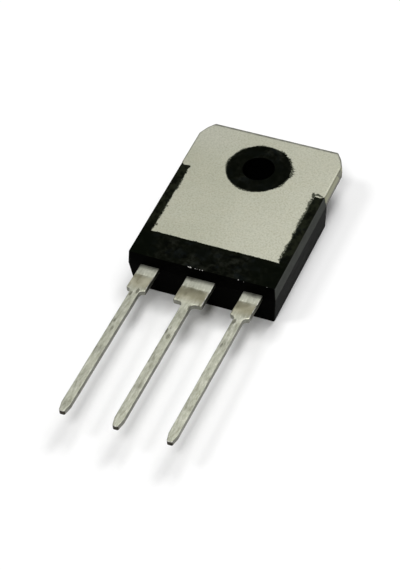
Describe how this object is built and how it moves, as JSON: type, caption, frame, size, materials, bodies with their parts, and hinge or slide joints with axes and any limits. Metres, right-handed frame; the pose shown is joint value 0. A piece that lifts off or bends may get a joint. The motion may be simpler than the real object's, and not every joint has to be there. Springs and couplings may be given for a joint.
{
  "type": "power mosfet",
  "caption": "Through-hole power transistor: black moulded body with a bare metal back and tab, a mounting hole, and flat tinned leads in a row.",
  "frame": {"origin": "on the axis of the mounting hole, in the plane of the moulded front face that the part lies on", "axes": "+X across the body towards the gate lead, +Y along the body from the leads towards the metal tab, +Z from the moulded front face up to the bare metal face"},
  "size_m": [0.0156, 0.0402, 0.0048],
  "materials": {
    "epoxy": "black moulding compound, satin on the drafted sides and matte on the faces",
    "frame_plating": "copper alloy with a matte warm grey nickel plating",
    "lead_tin": "copper alloy with matte tin plating",
    "solder": "dull solder",
    "silicon": "polished silicon with a metal layer",
    "bond_wire": "drawn aluminium wire"
  },
  "bodies": {
    "root": {"moulded_body": "epoxy", "drain_frame": "frame_plating", "source_lead": "lead_tin", "gate_lead": "lead_tin", "die_solder": "solder", "silicon_die": "silicon", "source_wire_1": "bond_wire", "source_wire_2": "bond_wire", "source_wire_3": "bond_wire", "gate_wire": "bond_wire"}
  },
  "joints": []
}
